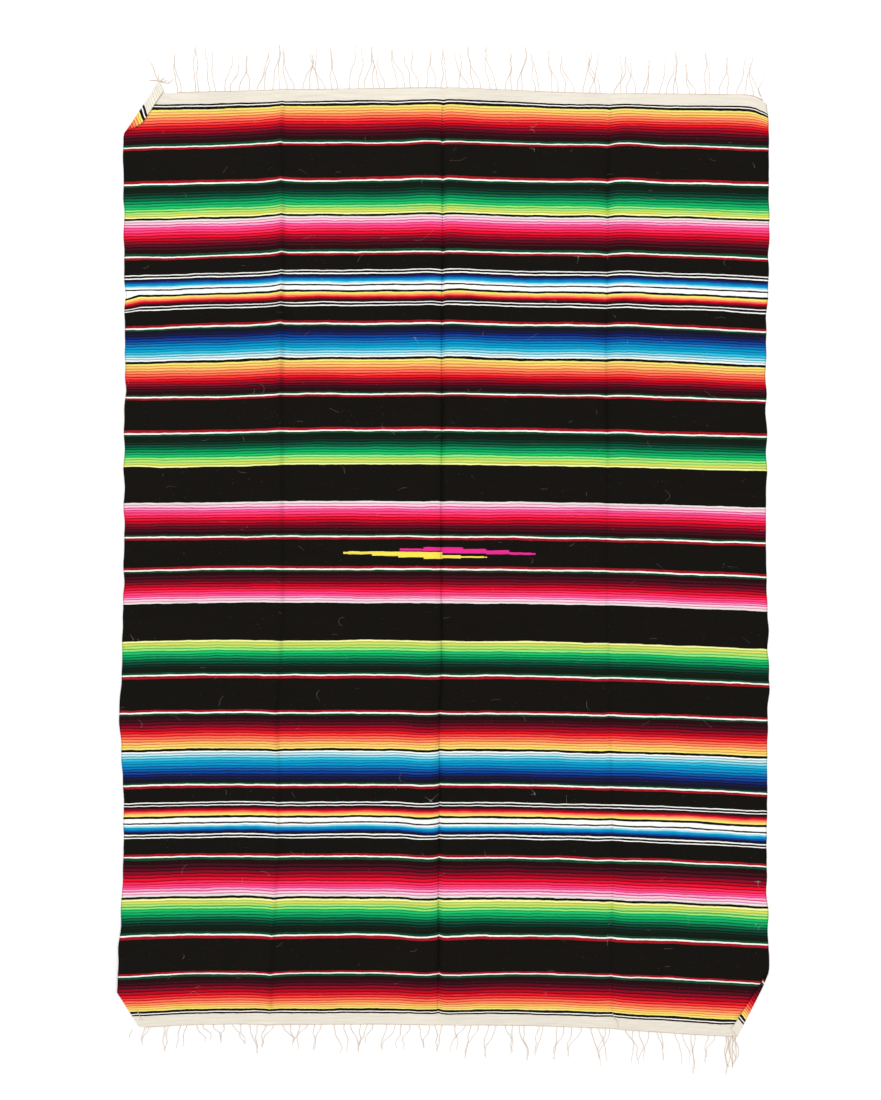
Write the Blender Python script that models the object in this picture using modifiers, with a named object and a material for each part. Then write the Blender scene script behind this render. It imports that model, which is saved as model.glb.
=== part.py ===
"""A serape laid flat on the floor: one striped, weft-faced panel with thin warp fringe at both ends.

X runs across the cloth, Y along it, Z up. The floor is at Z = 0. The panel was folded lengthwise for
storage, so it keeps one ridge and two valleys along its whole length, and three of its corners are turned.
"""

import math

import bmesh
import bpy
from mathutils import Vector

MM = 0.001

# The cloth. Its flat places are (across, along): across the width and along the length, from its middle.
HALF_WIDTH = 733
HALF_LENGTH = 1064
CLOTH_THICK = 2.0
LAYER_GAP = 1.0

# Woven lines, from the far end to the near one. Each starts at a straight line in the flat cloth and lies as
# a shallow bow. Columns: name, along, left x, right x, then y at seven places from left to right.
WOVEN_LINES = (
    ("far_edge", 1064, -725, 741, 1050, 1055, 1059.5, 1063, 1050.5, 1049.5, 1047),
    ("far_pins", 940, -732, 742, 925, 932, 937.5, 940, 933, 933, 926),
    ("far_fire", 855, -731, 742, 841.5, 847.5, 851.5, 854.5, 847.5, 847, 841),
    ("far_green", 690, -730, 742, 676.5, 681, 688, 690.5, 684, 683, 675),
    ("far_blue", 527, -728, 736, 513, 520, 524.5, 526, 520, 517, 506),
    ("far_red", 366, -728, 735, 357.5, 359, 365, 365.5, 361, 357, 350.5),
    ("far_leaf", 283, -730, 737, 274.5, 276, 281.5, 282.5, 277.5, 272.5, 268),
    ("far_middle", 40, -730, 735, 37, 39, 40.5, 39, 36, 31.5, 24),
    ("near_middle", -40, -731, 737, -38, -34, -33.5, -34.5, -38, -44.5, -53),
    ("near_leaf", -283, -736, 742, -281, -276.5, -277, -278, -283, -289, -299),
    ("near_red", -366, -741, 739, -365, -362, -362.5, -364, -367.5, -373, -380.5),
    ("near_blue", -527, -732, 738, -531.5, -527, -527, -527, -531.5, -537.5, -548),
    ("near_green", -690, -732, 737, -694, -690, -690.5, -692.5, -697.5, -704.5, -715),
    ("near_fire", -855, -740, 741, -873, -868, -869, -870.5, -873.5, -882, -893),
    ("near_pins", -940, -744, 744, -965, -959, -957, -959, -961.5, -972, -983),
    ("near_edge", -1064, -745, 744, -1080, -1073, -1072.5, -1073.5, -1080, -1094, -1105),
)
# Where across the cloth the seven y values of a woven line lie, as shares of half its width
LINE_SHARES = (-1, -0.72, -0.42, 0, 0.46, 0.72, 1)
ROW_STEP = 86  # the longest stretch between two rows of the panel's mesh

# How the three creases run. Columns: along, the ridge's place across and its rise, then for the middle
# valley and for the side valley the place across and the rises of the left and the right shoulder.
CREASE_RUN = (
    (1064, -375, 4, -8, 1.5, 1.5, 372, 1.5, 2),
    (1010, -375, 10, -8, 5, 5.5, 370, 4, 7),
    (850, -374, 14, -8, 6, 7.5, 366, 6, 12),
    (700, -373, 16, -8, 7, 8, 365, 6, 10),
    (527, -375, 18, -8, 5, 9, 366, 4, 11),
    (350, -376, 16, -7, 7, 10, 367, 7, 13),
    (190, -375, 12, -8, 9, 7, 369, 6, 9),
    (-125, -373, 9, -8, 14, 3.5, 365, 7, 5),
    (-310, -378, 11, -8, 17, 3, 372, 8, 4),
    (-527, -381, 8, -12, 16, 3.5, 377, 5, 3),
    (-700, -385, 7.5, -14, 14, 5, 381, 4, 4),
    (-880, -389, 10, -12, 9, 8, 376, 5, 5),
    (-1010, -391, 7, -12, 6, 6.5, 376, 4, 5),
    (-1064, -392, 4, -12, 1.5, 1.5, 376, 1.5, 2),
)
# Cross-sections of the creases. Columns: distance from the crease's line, share of its rise.
RIDGE = (
    (-75, 0), (-58, 0.07), (-44, 0.16), (-30, 0.30), (-18, 0.46), (-9, 0.64), (-4, 0.82), (0, 1.0),
    (4, 0.78), (9, 0.62), (15, 0.51), (22, 0.43), (32, 0.36), (60, 0.28), (110, 0.14), (170, 0),
)
MIDDLE_LEFT = (
    (-115, 0), (-90, 0.16), (-70, 0.50), (-55, 0.82), (-42, 0.97), (-32, 1.0), (-22, 0.96), (-14, 0.82),
    (-8, 0.58), (-4.5, 0.40), (-1.5, 0),
)
MIDDLE_RIGHT = (
    (-1.5, 0), (1.5, 0), (4.5, 0.42), (8, 0.76), (12, 0.95), (17, 1.0), (26, 0.97), (42, 0.82), (62, 0.52),
    (84, 0.20), (110, 0),
)
SIDE_LEFT = (
    (-180, 0), (-140, 0.20), (-95, 0.60), (-60, 0.86), (-40, 0.97), (-28, 1.0), (-20, 0.92), (-13, 0.70),
    (-8, 0.46), (-4.5, 0.28), (-1.5, 0),
)
SIDE_RIGHT = (
    (-1.5, 0), (1.5, 0), (4.5, 0.24), (9, 0.46), (15, 0.72), (22, 0.92), (28, 1.0), (45, 1.0), (65, 0.78),
    (85, 0.48), (110, 0.15), (130, 0),
)
# Each profile, with the columns of CREASE_RUN that hold its place and its rise. No two profiles overlap.
CREASES = (
    (RIDGE, 1, 2), (MIDDLE_LEFT, 3, 4), (MIDDLE_RIGHT, 3, 5), (SIDE_LEFT, 6, 7), (SIDE_RIGHT, 6, 8),
)
# Columns of the mesh on the plain stretches, across. They lie close where the far right corner droops.
PLAIN_COLUMNS = (
    -733, -690, -610, -530, -165, 147, 550, 610, 655, 680, 694, 705, 715, 724, 733,
)

# The far right corner sags towards the near end.
DROOP_START = 678
DROOP_DEPTH = 20
DROOP_REACH = 110
DROOP_INWARDS = 0.08  # how far it comes in, as a share of the sag

# Turned corners, in flat places. A strip past the fold line is turned over onto the face, side +1, or under
# the cloth, side -1. The far left one has its heading pulled out past the edge like an ear.
# Columns: name, fold start, fold end, the strip's width at both, side, pull.
TURNED_CORNERS = (
    ("far_left", (-734, 966), (-672, 1066), (20, 19), 1, 34),
    ("near_right", (734, -905), (656, -1066), (1.5, 19), 1, 0),
    ("near_left", (-734, -972), (-681, -1066), (20, 20), -1, 0),
)
ROLL_STEPS = 4
PULL_FROM = 1034
UNDER_MARGIN = 4  # past the hidden strip, before the cloth over it comes down
UNDER_FADE = 60

# Fringe. Strands stand in pairs that lean together. Columns: name, end, first x, last x, pairs,
# reach at the left, reach at the right, how uneven the reach is.
FRINGES = (
    ("fringe_far", 1, -606, 718, 38, 94, 80, 14),
    ("fringe_near", -1, -680, 660, 35, 46, 74, 14),
)
STRIP_WIDTH = 4
STRIP_THICK = 2.0
STRIP_OVER = 3  # how far the strip goes on past its outermost strands
SEAM_GAP = 0.4
STRAND_HALF = 0.95
STRAND_TIP_HALF = 0.7
STRAND_STEPS = 6
STRAND_FLOAT = 1.6  # height of a lying strand's middle above the floor
STRAND_LANDS = 0.625  # share of a strand's length over which it comes down to the floor
PAIR_SHARE = 0.42  # share of a pair's pitch between its two roots
PAIR_PLACE_UNEVEN = 0.12
PAIR_WIDTH_UNEVEN = 0.5
PAIR_TIP_GAP = 4.2
LENGTH_UNEVEN = 0.05
LEAN = 9
ARCH = 1.5
WAVE = 3.0
WAVE_TURNS = 1.0
WAVE_TURNS_UNEVEN = 0.5

# Colours from the photo: name, linear colour, roughness.
COLOURS = {
    "serape_panel": ((0.16, 0.035, 0.03, 1), 0.9),
    "fringe_far": ((0.80, 0.70, 0.55, 1), 0.85),
    "fringe_near": ((0.80, 0.70, 0.55, 1), 0.85),
}


def uneven(number, salt):
    """A repeatable value from -1 to 1 for a strand, so that no two strands are alike."""
    return 2 * ((math.sin(number * 12.9898 + salt * 78.233) * 43758.5453) % 1) - 1


def eased(share):
    """0 to 1 with soft ends."""
    share = min(max(share, 0), 1)
    return share * share * (3 - 2 * share)


def read_table(rows, key, at):
    """Every number of a table at a place between its rows, through a smooth curve. The key falls."""
    at = min(max(at, rows[-1][key]), rows[0][key])
    low = next(i for i in range(len(rows) - 1) if rows[i + 1][key] <= at)
    before, start, end, after = (rows[min(max(low + k, 0), len(rows) - 1)] for k in (-1, 0, 1, 2))
    span = end[key] - start[key]
    t = (at - start[key]) / span
    found = []
    for column in range(key + 1, len(start)):
        slope_in = (end[column] - before[column]) / (end[key] - before[key]) * span
        slope_out = (after[column] - start[column]) / (after[key] - start[key]) * span
        found.append(
            start[column] * (2 * t**3 - 3 * t**2 + 1)
            + slope_in * (t**3 - 2 * t**2 + t)
            + end[column] * (3 * t**2 - 2 * t**3)
            + slope_out * (t**3 - t**2)
        )
    return found


def profile_at(profile, distance):
    """The share of a crease's rise at a distance from its line."""
    for (left, low), (right, high) in zip(profile, profile[1:]):
        if left <= distance <= right:
            return low + (high - low) * (distance - left) / (right - left)
    return 0


def lift(across, along):
    """How high the creases raise the cloth off the floor."""
    run = [along] + read_table(CREASE_RUN, 0, along)
    return sum(run[rise] * profile_at(profile, across - run[place]) for profile, place, rise in CREASES)


def lay(across, along):
    """Where a flat place of the cloth lies on the floor."""
    left, right, *heights = read_table(WOVEN_LINES, 1, along)
    share = across / HALF_WIDTH
    x = (left + right) / 2 + (right - left) / 2 * share
    y = read_table(list(zip(LINE_SHARES, heights))[::-1], 0, share)[0]
    y += along - min(max(along, -HALF_LENGTH), HALF_LENGTH)  # what is pulled out past an end edge
    past = max(across - DROOP_START, 0) / (HALF_WIDTH - DROOP_START)
    sag = DROOP_DEPTH * past**2 * eased((along - HALF_LENGTH + DROOP_REACH) / DROOP_REACH)
    return x - sag * DROOP_INWARDS, y - sag


def corner_frame(corner):
    """A turned corner's fold line: its start, its direction and the direction outwards to the corner."""
    start, end = (Vector(place) for place in corner[1:3])
    line = (end - start).normalized()
    outward = Vector((-line.y, line.x))
    if outward.dot(start) < 0:
        outward.negate()
    return start, line, outward


def roll_radius(side):
    """Radius of the fold at the cloth's underside, which is inside a fold that goes under."""
    return LAYER_GAP / 2 + (CLOTH_THICK if side > 0 else 0)


def strip_edge(corner):
    """The outer edge of a turned strip in the flat cloth: a place on it and its direction outwards."""
    start, line, outward = corner_frame(corner)
    roll = math.pi * roll_radius(corner[4])
    first, last = (Vector(place) + outward * (roll + width) for place, width in zip(corner[1:3], corner[3]))
    edge = (last - first).normalized()
    facing = Vector((-edge.y, edge.x))
    return first, facing if facing.dot(outward) > 0 else -facing


def turn(across, along):
    """Turns the strip past a fold line: gives the new flat place and its height over the floor."""
    for corner in TURNED_CORNERS:
        widths, side, pull = corner[3:]
        start, line, outward = corner_frame(corner)
        place = Vector((across, along)) - start
        past = place.dot(outward)
        run = place.dot(line)
        under_lift = (CLOTH_THICK + LAYER_GAP) if side < 0 else 0
        if past <= 0 and -past < max(widths) + UNDER_FADE and side < 0:
            fade = 1 - eased((-past - max(widths) - UNDER_MARGIN) / (UNDER_FADE - UNDER_MARGIN))
            return across, along, under_lift * fade
        if past <= 0:
            continue
        radius = roll_radius(side)
        angle = min(past / radius, math.pi)
        out = radius * math.sin(angle) - max(past - math.pi * radius, 0)
        height = side * radius * (1 - math.cos(angle)) + under_lift
        stretch = pull * eased((along - PULL_FROM) / (HALF_LENGTH - PULL_FROM)) * angle / math.pi
        spot = start + line * (run + stretch) + outward * out
        return spot.x, spot.y, height
    return across, along, 0


def place_cloth(across, along):
    """The underside of the cloth at a flat place, in metres."""
    turned_across, turned_along, height = turn(across, along)
    x, y = lay(turned_across, turned_along)
    return Vector((x, y, lift(turned_across, turned_along) + height)) * MM


def new_object(name, mesh, collection):
    """An object with its own plain material, in the serape's collection."""
    colour, roughness = COLOURS[name]
    material = bpy.data.materials.new(name)
    material.use_nodes = True
    shader = material.node_tree.nodes["Principled BSDF"]
    shader.inputs["Base Color"].default_value = colour
    shader.inputs["Roughness"].default_value = roughness
    mesh.materials.append(material)
    made = bpy.data.objects.new(name, mesh)
    collection.objects.link(made)
    return made


def column_drift(column, along):
    """How far a mesh column follows the crease that it belongs to, away from the column's own place."""
    run = [along] + read_table(CREASE_RUN, 0, along)
    home = CREASE_RUN[0]
    for profile, place, rise in CREASES:
        if profile[0][0] <= column - home[place] <= profile[-1][0]:
            return run[place] - home[place]
    return 0


def make_panel(collection):
    """The woven panel: a grid bent into its creases and turned corners, given its thickness upwards."""
    columns = set(PLAIN_COLUMNS)
    for profile, place, rise in CREASES:
        columns |= {CREASE_RUN[0][place] + distance for distance, share in profile}
    columns = sorted(columns)
    rows = []
    for line, following in zip(WOVEN_LINES, WOVEN_LINES[1:]):
        steps = math.ceil((line[1] - following[1]) / ROW_STEP)
        rows += [line[1] + (following[1] - line[1]) * k / steps for k in range(steps)]
    rows = sorted(rows + [-HALF_LENGTH])

    shape = bmesh.new()
    bmesh.ops.create_grid(shape, x_segments=len(columns) - 1, y_segments=len(rows) - 1, size=1)
    for vertex in shape.verts:
        column = round((vertex.co.x + 1) / 2 * (len(columns) - 1))
        row = round((vertex.co.y + 1) / 2 * (len(rows) - 1))
        vertex.co.x = columns[column] + column_drift(columns[column], rows[row])
        vertex.co.y = rows[row]
    for corner in TURNED_CORNERS:
        start, line, outward = corner_frame(corner)
        roll = math.pi * roll_radius(corner[4])
        cuts = [(start + outward * roll * k / ROLL_STEPS, outward) for k in range(ROLL_STEPS + 1)]
        for spot, facing in cuts + [strip_edge(corner)]:
            bmesh.ops.bisect_plane(
                shape,
                geom=shape.verts[:] + shape.edges[:] + shape.faces[:],
                dist=0.01,
                plane_co=spot.to_3d(),
                plane_no=facing.to_3d(),
                clear_outer=facing is not outward,
            )
    for vertex in shape.verts:
        vertex.co = place_cloth(vertex.co.x, vertex.co.y)
    mesh = bpy.data.meshes.new("serape_panel")
    shape.to_mesh(mesh)
    shape.free()
    panel = new_object("serape_panel", mesh, collection)
    wall = panel.modifiers.new("Cloth thickness", "SOLIDIFY")
    wall.thickness = CLOTH_THICK * MM
    wall.offset = 1
    wall.use_even_offset = True
    return panel


def strand_roots(first, last, pairs):
    """The roots of the strands across the cloth, a pair at a time."""
    pitch = (last - first) / (pairs - 1 + PAIR_SHARE)
    roots = []
    for pair in range(pairs):
        start = first + pitch * (pair + PAIR_PLACE_UNEVEN * uneven(pair, 1))
        roots.append((start, start + pitch * PAIR_SHARE * (1 + PAIR_WIDTH_UNEVEN * uneven(pair, 2))))
    return roots


def edge_at(x, end):
    """The cloth's end edge at a place x on the floor: its y and the height of its underside."""
    along = end * HALF_LENGTH
    left, right = read_table(WOVEN_LINES, 1, along)[:2]
    across = (x - (left + right) / 2) / ((right - left) / 2) * HALF_WIDTH
    return lay(across, along)[1], lift(across, along) + turn(across, along)[2]


def make_fringe(fringe, collection):
    """Warp ends in pairs, drawn out one by one from the outer face of the twined strip along the edge."""
    name, end, first, last, pairs, reach_left, reach_right, reach_uneven = fringe
    roots = strand_roots(first, last, pairs)
    columns = [x + side * STRAND_HALF for pair in roots for x in pair for side in (-1, 1)]
    columns = [first - STRIP_OVER] + columns + [columns[-1] + STRIP_OVER]

    shape = bmesh.new()
    bmesh.ops.create_grid(shape, x_segments=len(columns) - 1, y_segments=1, size=1)
    for vertex in shape.verts:
        x = columns[round((vertex.co.x + 1) / 2 * (len(columns) - 1))]
        y, floor = edge_at(x, end)
        out = SEAM_GAP + (STRIP_WIDTH if vertex.co.y * end > 0 else 0)
        vertex.co = (x, y + end * out, floor)
    bottom = shape.faces[:]
    raised = bmesh.ops.extrude_face_region(shape, geom=bottom)["geom"]
    for vertex in (item for item in raised if isinstance(item, bmesh.types.BMVert)):
        vertex.co.z += STRIP_THICK
    bmesh.ops.recalc_face_normals(shape, faces=shape.faces[:])

    outer = {}
    for face in shape.faces:
        middle = face.calc_center_median()
        if face.normal.y * end > abs(face.normal.x) + abs(face.normal.z):
            outer[round(middle.x, 2)] = face
    for pair, (left_root, right_root) in enumerate(roots):
        lean = LEAN * uneven(pair, 3)
        span = reach_left + (reach_right - reach_left) * pair / (pairs - 1)
        reach = span + reach_uneven * uneven(pair, 4)
        turns = WAVE_TURNS + WAVE_TURNS_UNEVEN * uneven(pair, 5)
        phase = math.pi * uneven(pair, 6)
        arch = ARCH * (1 + uneven(pair, 7))
        for root, side in ((left_root, -1), (right_root, 1)):
            face = outer[round(root, 2)]
            start = face.calc_center_median()
            signs = [
                (1 if corner.vert.co.x > start.x else -1, 1 if corner.vert.co.z > start.z else -1)
                for corner in face.loops
            ]
            tip = (left_root + right_root) / 2 + lean + side * PAIR_TIP_GAP / 2
            length = reach * (1 + LENGTH_UNEVEN * side * uneven(pair, 8))
            for step in range(1, STRAND_STEPS + 1):
                t = step / STRAND_STEPS
                hump = 4 * t * (1 - t)
                sway = WAVE * hump * math.sin(2 * math.pi * turns * t + phase)
                middle = Vector((
                    root + (tip - root) * eased(t) + sway,
                    start.y + end * length * t,
                    start.z + (STRAND_FLOAT - start.z) * eased(t / STRAND_LANDS) + arch * hump,
                ))
                half = STRAND_HALF + (STRAND_TIP_HALF - STRAND_HALF) * t
                face = bmesh.ops.extrude_discrete_faces(shape, faces=[face])["faces"][0]
                for corner, (across, up) in zip(face.loops, signs):
                    corner.vert.co = middle + Vector((across * half, 0, up * half))
    for vertex in shape.verts:
        vertex.co *= MM
    mesh = bpy.data.meshes.new(name)
    shape.to_mesh(mesh)
    shape.free()
    return new_object(name, mesh, collection)


def centre_on_origin(made):
    """Moves the whole serape so that the middle of its footprint is at the origin."""
    bpy.context.view_layer.update()
    graph = bpy.context.evaluated_depsgraph_get()
    corners = [Vector(corner) for item in made for corner in item.evaluated_get(graph).bound_box]
    middle_x = (min(c.x for c in corners) + max(c.x for c in corners)) / 2
    middle_y = (min(c.y for c in corners) + max(c.y for c in corners)) / 2
    for item in made:
        for vertex in item.data.vertices:
            vertex.co.x -= middle_x
            vertex.co.y -= middle_y


for old in list(bpy.data.objects):
    bpy.data.objects.remove(old, do_unlink=True)
serape = bpy.data.collections.new("serape")
bpy.context.scene.collection.children.link(serape)
pieces = [make_panel(serape)] + [make_fringe(fringe, serape) for fringe in FRINGES]
centre_on_origin(pieces)
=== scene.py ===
"""Looks of a striped serape laid flat: its weave, dyes, creases, turned corners and warp fringe."""

import math

import bpy
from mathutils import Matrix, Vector, noise


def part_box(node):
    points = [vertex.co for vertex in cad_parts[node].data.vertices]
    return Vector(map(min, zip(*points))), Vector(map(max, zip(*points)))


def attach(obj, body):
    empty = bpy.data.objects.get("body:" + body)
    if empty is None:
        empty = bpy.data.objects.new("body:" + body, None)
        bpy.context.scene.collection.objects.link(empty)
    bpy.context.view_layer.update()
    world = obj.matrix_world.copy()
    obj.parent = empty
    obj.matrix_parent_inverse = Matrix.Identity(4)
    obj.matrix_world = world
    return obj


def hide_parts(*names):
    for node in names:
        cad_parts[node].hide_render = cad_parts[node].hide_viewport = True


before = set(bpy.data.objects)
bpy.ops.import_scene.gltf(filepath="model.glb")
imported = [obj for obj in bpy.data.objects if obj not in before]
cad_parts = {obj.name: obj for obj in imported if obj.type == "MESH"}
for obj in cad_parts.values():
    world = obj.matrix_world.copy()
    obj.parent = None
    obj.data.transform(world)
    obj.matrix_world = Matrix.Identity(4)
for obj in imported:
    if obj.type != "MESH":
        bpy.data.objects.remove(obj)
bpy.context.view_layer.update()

# The woven cloth
# One weft-faced panel of dyed wool on cotton warps, with no seam. It was stored folded in four lengthwise,
# so a ridge and two valleys run its whole length, and three corners are turned over or under.

# Sizes are in millimetres. Flat places are (across, along): across the width and along the length, from the
# cloth's middle.
MM = 0.001
HALF_WIDTH = 733
HALF_LENGTH = 1064
CLOTH_THICK = 2.0
LAYER_GAP = 1.0
COLUMN_STEP = 16
COLUMN_CLEAR = 0.55  # share of a step that two mesh columns keep apart
SELVEDGE_COLUMNS = (0, 4, 11)  # how far in from each selvedge the outermost mesh columns lie
ROW_STEP = 11
SELVEDGE_WANDER = 3.6
SELVEDGE_WAVE = 45
SELVEDGE_REACH = 26  # how far in from a selvedge its warps wander
SELVEDGE_SEED = 7
SOFT_WAVE = 0.9
SOFT_WAVE_ACROSS = 150
SOFT_WAVE_ALONG = 190
SOFT_WAVE_SEED = 3
SOFT_WAVE_FROM = -0.1

# Woven lines, from the far end to the near one. Each starts at a straight line in the flat cloth and lies as
# a shallow bow. Columns: name, along, left x, right x, then y at seven places from left to right.
WOVEN_LINES = (
    ("far_edge", 1064, -725, 741, 1050, 1055, 1059.5, 1063, 1050.5, 1049.5, 1047),
    ("far_pins", 940, -732, 742, 925, 932, 937.5, 940, 933, 933, 926),
    ("far_fire", 855, -731, 742, 841.5, 847.5, 851.5, 854.5, 847.5, 847, 841),
    ("far_green", 690, -730, 742, 676.5, 681, 688, 690.5, 684, 683, 675),
    ("far_blue", 527, -728, 736, 513, 520, 524.5, 526, 520, 517, 506),
    ("far_red", 366, -728, 735, 357.5, 359, 365, 365.5, 361, 357, 350.5),
    ("far_leaf", 283, -730, 737, 274.5, 276, 281.5, 282.5, 277.5, 272.5, 268),
    ("far_middle", 40, -730, 735, 37, 39, 40.5, 39, 36, 31.5, 24),
    ("near_middle", -40, -731, 737, -38, -34, -33.5, -34.5, -38, -44.5, -53),
    ("near_leaf", -283, -736, 742, -281, -276.5, -277, -278, -283, -289, -299),
    ("near_red", -366, -741, 739, -365, -362, -362.5, -364, -367.5, -373, -380.5),
    ("near_blue", -527, -732, 738, -531.5, -527, -527, -527, -531.5, -537.5, -548),
    ("near_green", -690, -732, 737, -694, -690, -690.5, -692.5, -697.5, -704.5, -715),
    ("near_fire", -855, -740, 741, -873, -868, -869, -870.5, -873.5, -882, -893),
    ("near_pins", -940, -744, 744, -965, -959, -957, -959, -961.5, -972, -983),
    ("near_edge", -1064, -745, 744, -1080, -1073, -1072.5, -1073.5, -1080, -1094, -1105),
)
# Where across the cloth the seven y values of a woven line lie, as shares of half its width
LINE_SHARES = (-1, -0.72, -0.42, 0, 0.46, 0.72, 1)
# How the three creases run. Columns: along, the ridge's place across and its rise, then for the middle
# valley and for the side valley the place across and the rises of the left and the right shoulder.
CREASE_RUN = (
    (1064, -375, 4, -8, 1.5, 1.5, 372, 1.5, 2),
    (1010, -375, 10, -8, 5, 5.5, 370, 4, 7),
    (850, -374, 14, -8, 6, 7.5, 366, 6, 12),
    (700, -373, 16, -8, 7, 8, 365, 6, 10),
    (527, -375, 18, -8, 5, 9, 366, 4, 11),
    (350, -376, 16, -7, 7, 10, 367, 7, 13),
    (190, -375, 12, -8, 9, 7, 369, 6, 9),
    (-125, -373, 9, -8, 14, 3.5, 365, 7, 5),
    (-310, -378, 11, -8, 17, 3, 372, 8, 4),
    (-527, -381, 8, -12, 16, 3.5, 377, 5, 3),
    (-700, -385, 7.5, -14, 14, 5, 381, 4, 4),
    (-880, -389, 10, -12, 9, 8, 376, 5, 5),
    (-1010, -391, 7, -12, 6, 6.5, 376, 4, 5),
    (-1064, -392, 4, -12, 1.5, 1.5, 376, 1.5, 2),
)
# Cross-sections of the creases. Columns: distance from the crease's line, share of its rise.
RIDGE = (
    (-75, 0), (-58, 0.07), (-44, 0.16), (-30, 0.30), (-18, 0.46), (-9, 0.64), (-4, 0.82), (0, 1.0),
    (4, 0.78), (9, 0.62), (15, 0.51), (22, 0.43), (32, 0.36), (60, 0.28), (110, 0.14), (170, 0),
)
MIDDLE_LEFT = (
    (-115, 0), (-90, 0.16), (-70, 0.50), (-55, 0.82), (-42, 0.97), (-32, 1.0), (-22, 0.96), (-14, 0.82),
    (-8, 0.58), (-4.5, 0.40), (-1.5, 0),
)
MIDDLE_RIGHT = (
    (-1.5, 0), (1.5, 0), (4.5, 0.42), (8, 0.76), (12, 0.95), (17, 1.0), (26, 0.97), (42, 0.82), (62, 0.52),
    (84, 0.20), (110, 0),
)
SIDE_LEFT = (
    (-180, 0), (-140, 0.20), (-95, 0.60), (-60, 0.86), (-40, 0.97), (-28, 1.0), (-20, 0.92), (-13, 0.70),
    (-8, 0.46), (-4.5, 0.28), (-1.5, 0),
)
SIDE_RIGHT = (
    (-1.5, 0), (1.5, 0), (4.5, 0.24), (9, 0.46), (15, 0.72), (22, 0.92), (28, 1.0), (45, 1.0), (65, 0.78),
    (85, 0.48), (110, 0.15), (130, 0),
)
# Each profile, with the columns of CREASE_RUN that hold its place and its rise, counted without along
CREASES = (
    (RIDGE, 0, 1), (MIDDLE_LEFT, 2, 3), (MIDDLE_RIGHT, 2, 4), (SIDE_LEFT, 5, 6), (SIDE_RIGHT, 5, 7),
)
CREASE_PLACES = (0, 2, 5)
# How far from each crease's line the mesh columns lie, and how far from it they still follow the crease
CREASE_COLUMNS = (0, 1.5, 3, 4.5, 6, 8, 10, 12, 15, 19, 24, 30, 37, 45, 55, 67, 82, 96, 112)
CREASE_FOLLOW = 170

# The far right corner sags towards the near end.
DROOP_START = 678
DROOP_DEPTH = 20
DROOP_REACH = 110
DROOP_INWARDS = 0.08  # how far it comes in, as a share of the sag

# Turned corners, in flat places. A strip past the fold line is turned over onto the face, side +1, or under
# the cloth, side -1. The far left one has its heading pulled out past the edge like an ear.
# Columns: name, fold start, fold end, the strip's width at both, side, pull.
TURNED_CORNERS = (
    ("far_left", (-734, 966), (-672, 1066), (20, 19), 1, 34),
    ("near_right", (734, -905), (656, -1066), (1.5, 19), 1, 0),
    ("near_left", (-734, -972), (-681, -1066), (20, 20), -1, 0),
)
ROLL_STEPS = 8
PULL_FROM = 1034
UNDER_MARGIN = 4  # past the hidden strip, before the cloth over it comes down
UNDER_FADE = 60


def eased(share):
    """0 to 1 with soft ends."""
    share = min(max(share, 0), 1)
    return share * share * (3 - 2 * share)


def read_table(rows, key, at):
    """Every number of a table at a place between its rows, through a smooth curve. The key falls."""
    at = min(max(at, rows[-1][key]), rows[0][key])
    low = next(i for i in range(len(rows) - 1) if rows[i + 1][key] <= at)
    before, start, end, after = (rows[min(max(low + k, 0), len(rows) - 1)] for k in (-1, 0, 1, 2))
    span = end[key] - start[key]
    t = (at - start[key]) / span
    found = []
    for column in range(key + 1, len(start)):
        slope_in = (end[column] - before[column]) / (end[key] - before[key]) * span
        slope_out = (after[column] - start[column]) / (after[key] - start[key]) * span
        found.append(
            start[column] * (2 * t**3 - 3 * t**2 + 1)
            + slope_in * (t**3 - 2 * t**2 + t)
            + end[column] * (3 * t**2 - 2 * t**3)
            + slope_out * (t**3 - t**2)
        )
    return found


def profile_at(profile, distance):
    """The share of a crease's rise at a distance from its line."""
    for (left, low), (right, high) in zip(profile, profile[1:]):
        if left <= distance <= right:
            return low + (high - low) * (distance - left) / (right - left)
    return 0


def lift(across, along):
    """How high the creases raise the cloth off the floor."""
    run = read_table(CREASE_RUN, 0, along)
    return sum(run[rise] * profile_at(profile, across - run[place]) for profile, place, rise in CREASES)


def lay(across, along):
    """Where a flat place of the cloth lies on the floor."""
    left, right, *heights = read_table(WOVEN_LINES, 1, along)
    share = across / HALF_WIDTH
    x = (left + right) / 2 + (right - left) / 2 * share
    y = read_table(list(zip(LINE_SHARES, heights))[::-1], 0, share)[0]
    y += along - min(max(along, -HALF_LENGTH), HALF_LENGTH)
    past = max(across - DROOP_START, 0) / (HALF_WIDTH - DROOP_START)
    sag = DROOP_DEPTH * past**2 * eased((along - HALF_LENGTH + DROOP_REACH) / DROOP_REACH)
    return x - sag * DROOP_INWARDS, y - sag


def corner_frame(corner):
    """A turned corner's fold line: its start, its direction and the direction outwards to the corner."""
    start, end = (Vector(place) for place in corner[1:3])
    line = (end - start).normalized()
    outward = Vector((-line.y, line.x))
    if outward.dot(start) < 0:
        outward.negate()
    return start, line, outward


def roll_radius(side):
    """Radius of the fold at the cloth's underside, which is inside a fold that goes under."""
    return LAYER_GAP / 2 + (CLOTH_THICK if side > 0 else 0)


def strip_edge(corner):
    """The outer edge of a turned strip in the flat cloth: a place on it and its direction outwards."""
    start, line, outward = corner_frame(corner)
    roll = math.pi * roll_radius(corner[4])
    first, last = (Vector(place) + outward * (roll + width) for place, width in zip(corner[1:3], corner[3]))
    edge = (last - first).normalized()
    facing = Vector((-edge.y, edge.x))
    return first, facing if facing.dot(outward) > 0 else -facing


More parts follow.
